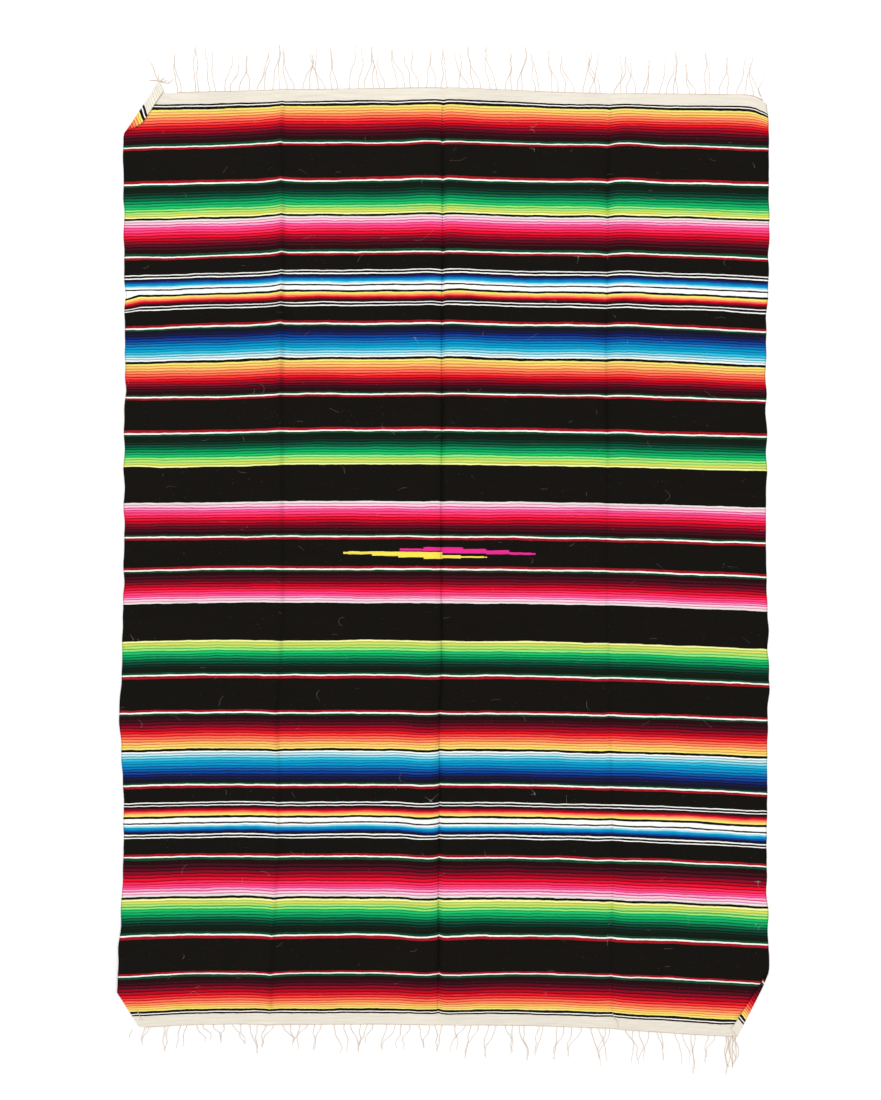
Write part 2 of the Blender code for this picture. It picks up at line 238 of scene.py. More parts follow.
def turn(across, along):
    """Turns the strip past a fold line: gives the new flat place and its height over the floor."""
    for corner in TURNED_CORNERS:
        widths, side, pull = corner[3:]
        start, line, outward = corner_frame(corner)
        place = Vector((across, along)) - start
        past = place.dot(outward)
        run = place.dot(line)
        under_lift = (CLOTH_THICK + LAYER_GAP) if side < 0 else 0
        if past <= 0 and -past < max(widths) + UNDER_FADE and side < 0:
            fade = 1 - eased((-past - max(widths) - UNDER_MARGIN) / (UNDER_FADE - UNDER_MARGIN))
            return across, along, under_lift * fade
        if past <= 0:
            continue
        radius = roll_radius(side)
        angle = min(past / radius, math.pi)
        out = radius * math.sin(angle) - max(past - math.pi * radius, 0)
        height = side * radius * (1 - math.cos(angle)) + under_lift
        stretch = pull * eased((along - PULL_FROM) / (HALF_LENGTH - PULL_FROM)) * angle / math.pi
        spot = start + line * (run + stretch) + outward * out
        return spot.x, spot.y, height
    return across, along, 0


def soft_wave(across, along):
    """A slight unevenness of cloth that doesn't lie quite flat."""
    wave = noise.noise(Vector((across / SOFT_WAVE_ACROSS, along / SOFT_WAVE_ALONG, SOFT_WAVE_SEED)))
    return SOFT_WAVE * max(wave - SOFT_WAVE_FROM, 0)


def selvedge_wander(across, along):
    """How far the outermost warps wander in and out where the weft turns back."""
    near_edge = eased((abs(across) - HALF_WIDTH + SELVEDGE_REACH) / SELVEDGE_REACH)
    seed = math.copysign(SELVEDGE_SEED, across)
    return near_edge * SELVEDGE_WANDER * noise.noise(Vector((along / SELVEDGE_WAVE, seed, 0)))


def place_cloth(across, along):
    """The underside of the cloth at a flat place, in millimetres."""
    turned_across, turned_along, height = turn(across, along)
    x, y = lay(turned_across, turned_along)
    x += selvedge_wander(turned_across, turned_along)
    return Vector((x, y, lift(turned_across, turned_along) + height + soft_wave(x, y)))


def column_drift(column, along):
    """How far a mesh column follows the crease that it is nearest to."""
    run = read_table(CREASE_RUN, 0, along)
    drift = 0
    for place in CREASE_PLACES:
        home = CREASE_RUN[0][place + 1]
        drift += (run[place] - home) * eased(1 - abs(column - home) / CREASE_FOLLOW)
    return drift


columns = {side * (HALF_WIDTH - inset) for inset in SELVEDGE_COLUMNS for side in (-1, 1)}
for place in CREASE_PLACES:
    home = CREASE_RUN[0][place + 1]
    columns |= {home + side * distance for distance in CREASE_COLUMNS for side in (-1, 1)}
for step in range(-HALF_WIDTH // COLUMN_STEP, HALF_WIDTH // COLUMN_STEP + 1):
    column = step * COLUMN_STEP
    if min(abs(column - other) for other in columns) > COLUMN_STEP * COLUMN_CLEAR:
        columns.add(column)
columns = sorted(columns)
row_count = round(2 * HALF_LENGTH / ROW_STEP)

bpy.ops.object.select_all(action="DESELECT")
bpy.ops.mesh.primitive_grid_add(x_subdivisions=len(columns) - 1, y_subdivisions=row_count, size=2)
cloth = bpy.context.object
cloth.name = cloth.data.name = "woven_cloth"
for vertex in cloth.data.vertices:
    along = vertex.co.y * HALF_LENGTH
    column = columns[round((vertex.co.x + 1) / 2 * (len(columns) - 1))]
    vertex.co = Vector((column + column_drift(column, along), along, 0)) * MM
bpy.ops.object.mode_set(mode="EDIT")
for corner in TURNED_CORNERS:
    start, line, outward = corner_frame(corner)
    roll = math.pi * roll_radius(corner[4])
    cuts = [(start + outward * roll * k / ROLL_STEPS, outward) for k in range(ROLL_STEPS + 1)]
    for spot, facing in cuts + [strip_edge(corner)]:
        bpy.ops.mesh.select_all(action="SELECT")
        bpy.ops.mesh.bisect(
            plane_co=(spot * MM).to_3d(),
            plane_no=facing.to_3d(),
            clear_outer=facing is not outward,
            threshold=0.00001,
        )
bpy.ops.object.mode_set(mode="OBJECT")

weave_map = cloth.data.uv_layers.new(name="weave")  # the flat places in metres, for the dyes and the weave
for loop in cloth.data.loops:
    weave_map.data[loop.index].uv = cloth.data.vertices[loop.vertex_index].co.xy
for other_map in [m for m in cloth.data.uv_layers if m.name != "weave"]:
    cloth.data.uv_layers.remove(other_map)
for vertex in cloth.data.vertices:
    vertex.co = place_cloth(vertex.co.x / MM, vertex.co.y / MM) * MM
wall = cloth.modifiers.new("Cloth thickness", "SOLIDIFY")
wall.thickness = CLOTH_THICK * MM
wall.offset = 1
wall.use_even_offset = True
bpy.ops.object.modifier_apply(modifier=wall.name)
bpy.ops.object.shade_smooth_by_angle(angle=math.radians(50))

# The cloth is set on its solid, whose own middle gives the place of the cloth's flat middle on the floor.
panel_low, panel_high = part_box("serape_panel")
cloth_points = [vertex.co for vertex in cloth.data.vertices]
cloth_middle = Vector((
    (panel_low[0] + panel_high[0] - min(p.x for p in cloth_points) - max(p.x for p in cloth_points)) / 2,
    (panel_low[1] + panel_high[1] - min(p.y for p in cloth_points) - max(p.y for p in cloth_points)) / 2,
    0,
))
for vertex in cloth.data.vertices:
    vertex.co += cloth_middle

# The dyes and plain fibres, as they show in daylight, from 0 to 255 in red, green and blue
DYES = {
    "cream": (234, 227, 212),
    "bleached": (255, 254, 250),
    "black": (17, 14, 10),
    "dark brown": (40, 20, 22),
    "pin red": (162, 20, 30),
    "pin green": (12, 74, 46),
    "yellow": (250, 228, 84),
    "magenta": (236, 44, 146),
    "lint": (190, 180, 168),
    "grey cotton": (188, 160, 138),
    "clean cotton": (236, 222, 206),
}
# The shades of the broad bands, from light to dark: twelve dye lots of each
SHADES = {
    "fire": (
        (248, 234, 118), (254, 212, 104), (254, 192, 104), (254, 144, 90), (250, 116, 82), (254, 68, 58),
        (232, 20, 36), (188, 4, 26), (148, 4, 30), (96, 4, 30), (60, 10, 22), (38, 8, 12),
    ),
    "pink": (
        (236, 228, 224), (254, 210, 224), (250, 166, 204), (250, 84, 152), (254, 68, 132), (254, 44, 88),
        (238, 10, 50), (194, 4, 32), (144, 4, 34), (98, 4, 28), (64, 14, 26), (40, 6, 10),
    ),
    "green": (
        (254, 254, 164), (222, 218, 90), (192, 224, 106), (156, 234, 122), (34, 196, 104), (12, 178, 98),
        (4, 150, 92), (4, 106, 66), (4, 78, 52), (6, 52, 42), (14, 30, 20), (14, 26, 14),
    ),
    "blue": (
        (254, 254, 254), (218, 234, 234), (156, 218, 230), (52, 192, 220), (4, 162, 204), (4, 150, 200),
        (4, 128, 188), (4, 94, 166), (10, 66, 150), (12, 36, 110), (20, 22, 66), (20, 20, 36),
    ),
}
# The stripes of half the cloth, from the middle outwards: where each starts, and its dye, or the shades that
# it runs through and which end of them comes first. The other half mirrors it.
STRIPES = (
    (0, "black"), (32.9, "pin red"), (38.2, "bleached"), (41.1, "pin green"), (45.3, "pink, dark first"),
    (119.4, "black"), (202.5, "green, light first"), (276.3, "pin green"), (280.8, "bleached"),
    (283.7, "pin red"), (289.4, "black"), (359.3, "pin red"), (363.7, "bleached"), (367, "pin green"),
    (371, "fire, dark first"), (444.1, "black"), (450, "blue, light first"), (521.2, "pin green"),
    (525.2, "bleached"), (528.4, "pin red"), (533.8, "black"), (566.1, "bleached"), (568.7, "black"),
    (573, "bleached"), (575.1, "black"), (578.4, "fire, dark first"), (597.7, "black"),
    (602.3, "bleached"), (611.7, "black"), (615.3, "blue, light first"), (635, "black"),
    (638.2, "bleached"), (640.7, "black"), (645.2, "bleached"), (647.4, "black"), (682.9, "pin red"),
    (688, "bleached"), (690.8, "pin green"), (696.3, "pink, dark first"), (773.1, "black"),
    (778.5, "green, light first"), (848.6, "pin green"), (853.1, "bleached"), (856.4, "pin red"),
    (862, "black"), (933.5, "pin red"), (938, "bleached"), (941, "pin green"),
    (946.4, "fire, dark first"), (1024.8, "black"), (1031.1, "bleached"), (1033.4, "dark brown"),
    (1037.5, "cream"),
)
HALF_END = 1100
BROAD = 40  # a band at least this wide has every shade, with a line of a deeper one beside each
LINE_SHARE = 0.6  # share of a step that is the shade's own line
DEEPER = 0.86
PICK = 2.7  # the pitch of the weft's picks
WARP = 3.4  # the pitch of the warps
WAVER = 4.5  # how far a stripe's edge wavers
SLOW_SHARE = 1.4
QUICK_SHARE = 0.6

# The two halves weren't beaten alike. Each list is for one half, the near one first, and gives places
# outwards with how far the stripes there lie further out.
BEATING = (
    (
        (0, 0), (45, 0.5), (72, 3), (97, 2), (106, -1.5), (130, -2), (180, 0), (234, 1.5), (262, 0),
        (282, -0.7), (300, 0), (380, 0), (400, 2), (430, 1.5), (480, -1), (520, -0.5), (562, -1.2),
        (595, -1.2), (640, 0), (702, 0), (726, 3.5), (748, 5), (757, 0.5), (922, 0), (936, -0.8),
        (945, -0.8), (962, 0), (988, 4), (1008, 4.5), (1025, 0),
    ),
    (
        (0, 0), (60, -0.5), (98, 2), (105, 0.5), (119, 1.5), (228, 2), (262, 0.5), (390, 0), (415, -1.5),
        (445, 0), (545, 0), (568, 1.3), (585, 2), (600, 1.2), (655, 1.6), (688, -0.5), (718, 1.5),
        (748, 1.5), (772, -0.5), (800, -2), (828, 0), (945, 0), (965, 1.5), (992, 1), (1018, 0),
    ),
)
BEAT_SPAN = 8  # what a ramp's whole range stands for, with no shift at its middle

# The painted shade line beside each crease, standing in for the shade in its groove. Columns: the column
# with the crease's place, counted as in CREASES, how far beside that place the line lies, its half width,
# how dark it is.
FOLD_SHADE_LINES = ((0, 4, 7, 0.17), (2, -2.5, 3.3, 0.28), (5, 2, 6, 0.13))
FOLD_REACH = 25  # how far a crease may wander from its mean place
FOLD_ENDS = 1024

# The wedge of white by the left selvedge, in flat places, and how far its neighbours are crowded
WEDGE_START = -699
WEDGE_LENGTH = 34
WEDGE_LOW = 552
WEDGE_FULL = 580
WEDGE_LAST = 600
WEDGE_HIGH = 613
WEDGE_RISE = 7

# The lozenge in the middle, inlaid in steps: place across where each step starts, then low and high along.
YELLOW_STEPS = (
    (-234, -2.6, 1.6), (-222, -4, 2.7), (-167, -7.7, 2.7), (-108, -11.4, 2.7), (-49, -15, 2.7),
    (-6, -13.6, -5.4), (35, -11.6, -7.4), (88, -10.6, -8.4), (95, 0, 0),
)
MAGENTA_STEPS = (
    (-104, 5.4, 10.6), (-49, 5.4, 14.8), (-6, -0.2, 14.8), (41, -0.2, 11.1), (93, -2.2, 7.4),
    (146, -3.5, 2.2), (196, -2.6, 1.2), (205, 0, 0),
)
LOZENGE_REACH = 240
LOZENGE_HEIGHT = 20

# How dark the cloth is where each of these is darkest, and how much lighter it gets: the dye's streaks and
# patches, and the painted shade in the grooves between picks and between ribs
STREAK_SHADE = (0.78, 0.44)
PATCH_SHADE = (0.90, 0.20)
PICK_GROOVE_SHADE = (0.72, 0.34)
RIB_GROOVE_SHADE = (0.65, 0.35)

# Painted shade along a selvedge, where the weft turns round the outermost warps and the edge faces outwards:
# how wide it is, how much wider its waver makes it, how dark
TURN_BACK = 1.6
TURN_BACK_WAVER = 3
SELVEDGE_SHADE_DARK = 0.25

# Lint and hairs lie where a noise passes these values, and show this strongly
LINT_ABOVE = 0.735
LINT_STRENGTH = 0.4
HAIR_ABOVE = 0.73
HAIR_HALF = 0.0026
HAIR_STRENGTH = 0.28
FUZZ_RISE = 0.5  # as a share of a pick's


def linear(dye):
    """A dye's colour for a shader, through the usual curve of screen colours."""
    return tuple(
        (c / 255 / 12.92 if c <= 10 else ((c / 255 + 0.055) / 1.055) ** 2.4) for c in dye
    ) + (1,)


def grey(level):
    """A colour that carries a number through a ramp."""
    return (level, level, level, 1)


def new_material(name, roughness, shine):
    """A material with a plain shader, and the tree and shader to build on."""
    material = bpy.data.materials.new(name)
    material.use_nodes = True
    shader = material.node_tree.nodes["Principled BSDF"]
    shader.inputs["Roughness"].default_value = roughness
    shader.inputs["Specular IOR Level"].default_value = shine
    return material, material.node_tree, shader


def tree_of(*values):
    """The node tree of the sockets among some values."""
    return next(value.id_data for value in values if isinstance(value, bpy.types.NodeSocket))


def feed(socket, value):
    """Links a socket to another one, or gives it a plain value."""
    if isinstance(value, bpy.types.NodeSocket):
        tree_of(socket).links.new(value, socket)
    else:
        socket.default_value = value


def number(operation, *values):
    """A Math node on sockets or plain numbers; gives its result."""
    node = tree_of(*values).nodes.new("ShaderNodeMath")
    node.operation = operation
    for socket, value in zip(node.inputs, values):
        feed(socket, value)
    return node.outputs[0]


def plus(first, second):
    """The sum of two sockets or numbers."""
    return number("ADD", first, second)


def minus(first, second):
    """The first of two sockets or numbers less the second."""
    return number("SUBTRACT", first, second)


def times(first, second):
    """The product of two sockets or numbers."""
    return number("MULTIPLY", first, second)


def divided(first, second):
    """The first of two sockets or numbers over the second."""
    return number("DIVIDE", first, second)


def arches(place):
    """A row of round backs, one from each whole number to the next."""
    return number("ABSOLUTE", number("SINE", times(place, math.pi)))


def shade_from(share, dark, lighter):
    """A shade that is dark at 0 and lighter by the given amount at 1."""
    return plus(dark, times(share, lighter))


def blend(share, under, over, kind="MIX"):
    """A colour Mix node on sockets or plain colours; gives its result."""
    node = tree_of(share, under, over).nodes.new("ShaderNodeMix")
    node.data_type = "RGBA"
    node.blend_type = kind
    for socket, value in ((node.inputs[0], share), (node.inputs[6], under), (node.inputs[7], over)):
        feed(socket, value)
    return node.outputs[2]


def ramp(place, low, high, stops, kind="CONSTANT"):
    """A Color Ramp over the places from low to high, with stops of place and colour; gives its colour."""
    node = tree_of(place).nodes.new("ShaderNodeValToRGB")
    node.color_ramp.interpolation = kind
    feed(node.inputs[0], divided(minus(place, low), high - low))
    elements = node.color_ramp.elements
    while len(elements) < len(stops):
        elements.new(1)
    for element, (at, colour) in zip(elements, stops):
        element.position = (at - low) / (high - low)
        element.color = colour
    return node.outputs[0]


def noise_at(x, y, spans, seed, detail=2):
    """Noise over the flat cloth, stretched by its spans across and along; gives 0 to 1."""
    place = tree_of(x).nodes.new("ShaderNodeCombineXYZ")
    for socket, value in zip(place.inputs, (divided(x, spans[0]), divided(y, spans[1]), seed)):
        feed(socket, value)
    node = tree_of(x).nodes.new("ShaderNodeTexNoise")
    node.inputs["Scale"].default_value = 1
    node.inputs["Detail"].default_value = detail
    feed(node.inputs["Vector"], place.outputs[0])
    return node.outputs["Fac"]


wool, tree, shader = new_material("woven wool", roughness=0.66, shine=0.05)
flat_place = tree.nodes.new("ShaderNodeUVMap")
flat_place.uv_map = "weave"
parts = tree.nodes.new("ShaderNodeSeparateXYZ")
feed(parts.inputs[0], flat_place.outputs[0])
across = divided(parts.outputs[0], MM)
along = divided(parts.outputs[1], MM)

# Each stripe's edge wavers a little, as hand-beaten weft does
slow_waver = noise_at(across, along, spans=(120, 60), seed=1)
quick_waver = noise_at(across, along, spans=(22, 16), seed=2)
waver = plus(times(slow_waver, SLOW_SHARE), times(quick_waver, QUICK_SHARE))
woven = plus(along, times(minus(waver, 1), WAVER))
outwards = number("ABSOLUTE", woven)
near_beat, far_beat = (
    ramp(outwards, 0, HALF_END, [(at, grey(0.5 + out / BEAT_SPAN)) for at, out in half], "LINEAR")
    for half in BEATING
)
beat = blend(number("GREATER_THAN", woven, 0), near_beat, far_beat)
outwards = minus(outwards, times(minus(beat, 0.5), BEAT_SPAN))

# By the left selvedge of the far half a white stripe is woven as a wedge, which crowds its neighbours
at_left = divided(minus(WEDGE_START, across), WEDGE_LENGTH)
at_left = number("MINIMUM", number("MAXIMUM", at_left, 0), 1)
crowding = ramp(
    woven, WEDGE_LOW, WEDGE_HIGH,
    [(WEDGE_LOW, grey(0)), (WEDGE_FULL, grey(1)), (WEDGE_LAST, grey(1)), (WEDGE_HIGH, grey(0))],
    "LINEAR",
)
outwards = plus(outwards, times(times(at_left, crowding), WEDGE_RISE))


def shaded_lines(shades, width):
    """The lines of a shaded band from light to dark: each one's width and dye."""
    if width < BROAD:
        return [(width / len(shades[::2]), shade) for shade in shades[::2]]
    step = width / len(shades)
    lines = []
    for shade, deeper in zip(shades, shades[2:] + shades[-1:] * 2):
        lines += [
            (step * LINE_SHARE, shade),
            (step * (1 - LINE_SHARE), [channel * DEEPER for channel in deeper]),
        ]
    return lines


stops = []
for (start, filling), (end, _) in zip(STRIPES, STRIPES[1:] + ((HALF_END, None),)):
    name, _, order = filling.partition(", ")
    lines = [(end - start, DYES[name])] if name in DYES else shaded_lines(SHADES[name], end - start)
    for width, dye in reversed(lines) if order == "dark first" else lines:
        stops.append((start, linear(dye)))
        start += width

RAMP_STOPS = 30  # a Color Ramp holds up to 32
colour = None
for first in range(0, len(stops), RAMP_STOPS):
    chunk = stops[first:first + RAMP_STOPS]
    low = chunk[0][0]
    high = stops[first + RAMP_STOPS][0] if first + RAMP_STOPS < len(stops) else HALF_END
    dyed = ramp(outwards, low, high, chunk)
    colour = dyed if colour is None else blend(number("GREATER_THAN", outwards, low), colour, dyed)

# The lozenge's steps are a low and a high edge for each stretch across, in a ramp's red and green
level = plus(divided(woven, 2 * LOZENGE_HEIGHT), 0.5)
for steps, dye in ((YELLOW_STEPS, "yellow"), (MAGENTA_STEPS, "magenta")):
    edges = [(-LOZENGE_REACH, (0.5, 0.5, 0, 1))]
    for start, *limits in steps:
        low, high = ((limit + LOZENGE_HEIGHT) / (2 * LOZENGE_HEIGHT) for limit in limits)
        edges.append((start, (low, high, 0, 1)))
    bounds = tree.nodes.new("ShaderNodeSeparateColor")
    feed(bounds.inputs[0], ramp(across, -LOZENGE_REACH, LOZENGE_REACH, edges))
    above = number("GREATER_THAN", level, bounds.outputs[0])
    below = number("LESS_THAN", level, bounds.outputs[1])
    colour = blend(times(above, below), colour, linear(DYES[dye]))

# Yarn by yarn the dye takes a little unevenly, in streaks along the weft
streaks = noise_at(across, along, spans=(90, 0.8 * PICK), seed=4, detail=3)
patches = noise_at(across, along, spans=(210, 70), seed=5)
uneven_dye = times(shade_from(streaks, *STREAK_SHADE), shade_from(patches, *PATCH_SHADE))

# The picks' round backs, with the warps' ribs under them, staggered from pick to pick. They raise the bump,
# and the cloth is painted darker in the grooves between them as painted shade.
along_picks = divided(woven, PICK)
stagger = times(number("FLOORED_MODULO", number("FLOOR", along_picks), 2), 0.5)
rib = arches(plus(divided(across, WARP), stagger))
relief = times(arches(along_picks), shade_from(rib, *RIB_GROOVE_SHADE))

# Painted shade: each fold keeps a dark line that wanders with the fold, standing in for the shade in its
# groove. The middle one is the sharpest.
painted_fold_shade = 0
for place, aside, half, dark in FOLD_SHADE_LINES:
    home = sum(run[place + 1] for run in CREASE_RUN) / len(CREASE_RUN)
    wander_stops = [
        (run[0], grey((run[place + 1] - home) / FOLD_REACH / 2 + 0.5)) for run in reversed(CREASE_RUN)
    ]
    wandering = ramp(along, -HALF_LENGTH, HALF_LENGTH, wander_stops, "LINEAR")
    wandering = times(minus(wandering, 0.5), FOLD_REACH * 2)
    from_fold = minus(minus(across, home + aside), wandering)
    from_fold = number("ABSOLUTE", divided(from_fold, half))
    painted_fold_shade = plus(painted_fold_shade, times(number("MAXIMUM", minus(1, from_fold), 0), dark))
painted_fold_shade = times(painted_fold_shade, number("LESS_THAN", outwards, FOLD_ENDS))

# Painted shade where the wefts turn back round the outermost warps and the cloth's edge faces outwards
to_selvedge = minus(HALF_WIDTH, number("ABSOLUTE", across))
selvedge_shade = number("LESS_THAN", to_selvedge, plus(TURN_BACK, times(quick_waver, TURN_BACK_WAVER)))

# The dye's unevenness and the painted shade of the grooves, the selvedges and the folds darken the colour
# together
shade = times(uneven_dye, shade_from(relief, *PICK_GROOVE_SHADE))
shade = times(times(shade, minus(1, times(selvedge_shade, SELVEDGE_SHADE_DARK))), minus(1, painted_fold_shade))
shade_colour = tree.nodes.new("ShaderNodeCombineColor")
for socket in shade_colour.inputs:
    feed(socket, shade)
colour = blend(1, colour, shade_colour.outputs[0], "MULTIPLY")

# Specks of pale lint caught in the wool, and a few loose hairs
lint = number("GREATER_THAN", noise_at(across, along, spans=(2.6, 2.0), seed=8, detail=3), LINT_ABOVE)
hair_place = noise_at(across, along, spans=(46, 38), seed=11, detail=0)
hair_line = number("LESS_THAN", number("ABSOLUTE", minus(hair_place, 0.5)), HAIR_HALF)
hair_spot = number("GREATER_THAN", noise_at(across, along, spans=(44, 44), seed=12, detail=0), HAIR_ABOVE)
caught = number("MAXIMUM", times(lint, LINT_STRENGTH), times(times(hair_line, hair_spot), HAIR_STRENGTH))
feed(shader.inputs["Base Color"], blend(caught, colour, linear(DYES["lint"])))

fuzz = noise_at(across, along, spans=(1.1, 0.6), seed=9)
bump = tree.nodes.new("ShaderNodeBump")
bump.inputs["Strength"].default_value = 0.7
bump.inputs["Distance"].default_value = 0.0006
feed(bump.inputs["Height"], plus(relief, times(fuzz, FUZZ_RISE)))
feed(shader.inputs["Normal"], bump.outputs[0])
shader.inputs["Sheen Weight"].default_value = 0.01
shader.inputs["Sheen Roughness"].default_value = 0.5

cloth.data.materials.clear()
cloth.data.materials.append(wool)
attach(cloth, "root")
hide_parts("serape_panel")

# Warp fringe
# The cotton warps run out of both ends of the cloth past one twined row. They stand in pairs whose ends
# lean together, cross or have felted into one, thin and wavy from the loom.

# Columns as in the solids: name, end, first x, last x, pairs, reach at the left, reach at the right, how
# uneven the reach is.
FRINGES = (
    ("fringe_far", 1, -606, 718, 38, 94, 80, 14),
    ("fringe_near", -1, -680, 660, 35, 46, 74, 14),
)
PAIR_SHARE = 0.42  # share of a pair's pitch between its two roots
PAIR_PLACE_UNEVEN = 0.12
PAIR_WIDTH_UNEVEN = 0.5
SEAM_GAP = 0.4
STRIP_WIDTH = 4
STRIP_OVER = 3
YARN_HALF = 0.6
YARN_STEPS = 24
KNOT_SWELL = 1.3
KNOT_SHARE = 0.07
STRAND_FLOAT = 1.2
STRAND_LANDS = 1.5  # how many times sooner than its tip a strand is down on the floor
WAVE = 3.6
WAVE_TURNS = 0.9
WAVE_TURNS_UNEVEN = 0.4
KINK = 1.5
KINKS = 6  # to a strand
HOPS = 5  # off the floor, to a strand
LENGTH_UNEVEN = 0.06
LEAN = 22
JOINED, CROSSED, APART = 1.5, -13, 15  # how far apart the two ends of a pair lie
CROSSED_BELOW, APART_ABOVE = -0.5, 0.6  # by the pair's habit, which is from -1 to 1
MEET, MEET_UNEVEN = 0.80, 0.14  # share of a strand's length at which the pair meets
KNOTTED_ABOVE = 0.7
FELTED_CALM = 0.8  # share of its sway that a strand loses once it is felted to the other
FELTED_TWIST = 2.2 * math.pi
FELTED_RISE = 0.6
# The twined row's yarns: the length of one crossing, the step between points, how far out and how high
# they lie, how far they sway out and up, and their thickness.
TWINE_LENGTH = 7
TWINE_STEP = 1.2
TWINE_OUT, TWINE_UP = 0.6, 1.2
TWINE_SWAY, TWINE_RISE = 0.4, 0.5
TWINE_THICK = 1.2
# Yarns that have come loose elsewhere: x and y where each starts and ends, how far it bows, its thickness.
STRAY_YARNS = (
    (-652, 1078, -678, 1131, 3, 1.2), (-652, 1080, -675, 1082, 1, 1.4), (-648, 1079, -619, 1083, 4, 1.3),
    (-651, 1080, -655, 1099, 2, 1.1), (-650, 1078, -640, 1090, 2, 1.3), (-645, 1077, -629, 1078, -3, 1.1),
    (385, -1048, 397, -1083, -3, 1.0), (-700, -1037, -686, -1062, 2, 1.1),
    (651, -1098, 655, -1172, 9, 1.3), (655, -1098, 657, -1174, -5, 1.3), (659, -1098, 659, -1176, 6, 1.4),
    (663, -1099, 661, -1172, -8, 1.2), (666, -1099, 662, -1165, -3, 1.3), (668, -1100, 664, -1152, 5, 1.0),
    (-712, -1086, -716, -1107, 3, 0.9), (724, 1046, 733, 1094, -6, 0.9),
)


def uneven(strand, salt):
    """A repeatable value from -1 to 1 for a strand, so that no two strands are alike."""
    return 2 * ((math.sin(strand * 12.9898 + salt * 78.233) * 43758.5453) % 1) - 1


def strand_roots(first, last, pairs):
    """The roots of the strands across the cloth, a pair at a time."""
    pitch = (last - first) / (pairs - 1 + PAIR_SHARE)
    roots = []
    for pair in range(pairs):
        start = first + pitch * pair + pitch * PAIR_PLACE_UNEVEN * uneven(pair, 1)
        roots.append((start, start + pitch * PAIR_SHARE * (1 + PAIR_WIDTH_UNEVEN * uneven(pair, 2))))
    return roots


def edge_at(x, end):
    """The cloth's end edge at a place x on the floor: its y and the height of its underside."""
    along = end * HALF_LENGTH
    left, right = read_table(WOVEN_LINES, 1, along)[:2]
    across = (x - (left + right) / 2) / ((right - left) / 2) * HALF_WIDTH
    return lay(across, along)[1], lift(across, along) + turn(across, along)[2]


def strand_points(pair, side, root, end, reach, middle, tip_gap, meets):
    """A warp end from the twined row to its tip, which lies at one side of the pair's middle."""
    edge_y, edge_z = edge_at(root, end)
    length = reach * (1 + LENGTH_UNEVEN * side * uneven(pair, 8))
    turns = WAVE_TURNS + WAVE_TURNS_UNEVEN * uneven(pair * 2 + side, 5)
    phase = math.pi * uneven(pair * 2 + side, 6)
    points = []
    for step in range(YARN_STEPS + 1):
        t = step / YARN_STEPS
        joined = max(t - meets, 0) / (1 - meets) if tip_gap == JOINED else 0
        sway = WAVE * 4 * t * (1 - t) * math.sin(2 * math.pi * turns * t + phase)
        kink = KINK * noise.noise(Vector((t * KINKS, pair * 3.7 + side, end)))
        sway = (sway + kink * min(4 * t, 1)) * (1 - FELTED_CALM * eased(joined * 3))
        x = root + (middle + side * tip_gap / 2 - root) * eased(t / meets)
        x += side * math.cos(FELTED_TWIST * joined) * eased(3 * joined)
        over = FELTED_RISE * side * math.sin(FELTED_TWIST * joined + t * 9)
        hop = abs(noise.noise(Vector((t * HOPS, pair, side))))
        z = edge_z * (1 - eased(STRAND_LANDS * t)) + STRAND_FLOAT + hop
        y = edge_y + end * (SEAM_GAP + STRIP_WIDTH / 2 + (length + STRIP_WIDTH / 2) * t)
        points.append((x + sway, y, max(z + over, YARN_HALF)))
    return points


def top_at(x, y):
    """How high the cloth's upper face is at a place on the floor, or 0 beside it."""
    over = Vector((x, y, 100)) * MM + cloth_middle
    hit, spot, _, _ = cloth.ray_cast(over, Vector((0, 0, -1)))
    return spot.z / MM if hit else 0


def stray_points(x, y, last_x, last_y, bow, thickness):
    """A loose yarn, which curls a little between its two ends and lies on the cloth or the floor."""
    points = []
    aside = Vector((last_y - y, x - last_x)).normalized() * bow
    for step in range(YARN_STEPS + 1):
        t = step / YARN_STEPS
        curl = 4 * t * (1 - t) + 0.5 * math.sin(2 * math.pi * t + bow)
        spot_x = x + (last_x - x) * t + aside.x * curl
        spot_y = y + (last_y - y) * t + aside.y * curl
        hop = abs(noise.noise(Vector((t * 4, bow, x))))
        points.append((spot_x, spot_y, top_at(spot_x, spot_y) + YARN_HALF * thickness + hop))
    return points


def twined_points(first, last, end, side):
    """One of the two yarns of the twined row, which cross over each other all along the edge."""
    points = []
    x = first - STRIP_OVER
    while x <= last + STRIP_OVER:
        edge_y, edge_z = edge_at(x, end)
        angle = 2 * math.pi * x / TWINE_LENGTH
        out = SEAM_GAP + TWINE_OUT + side * TWINE_SWAY * math.sin(angle)
        points.append((x, edge_y + end * out, edge_z + TWINE_UP + side * TWINE_RISE * math.cos(angle)))
        x += TWINE_STEP
    return points


def yarn_curve(name):
    """An empty curve object whose splines are round yarns."""
    data = bpy.data.curves.new(name, "CURVE")
    data.dimensions = "3D"
    data.bevel_depth = YARN_HALF * MM
    data.bevel_resolution = 1
    data.use_fill_caps = True
    made = bpy.data.objects.new(name, data)
    bpy.context.collection.objects.link(made)
    return made


def add_yarn(curve, points, thickness=1.0, tip=0.55, knot=None):
    """A yarn through points in millimetres, thinner towards its end, and thicker where it is knotted."""
    spline = curve.data.splines.new("POLY")
    spline.points.add(len(points) - 1)
    for i, (place, point) in enumerate(zip(points, spline.points)):
        share = i / (len(points) - 1)
        point.co = (*(Vector(place) * MM + cloth_middle), 1)
        point.radius = thickness * (1 - (1 - tip) * share**3)
        if knot is not None:
            point.radius *= 1 + KNOT_SWELL * math.exp(-(((share - knot) / KNOT_SHARE) ** 2))


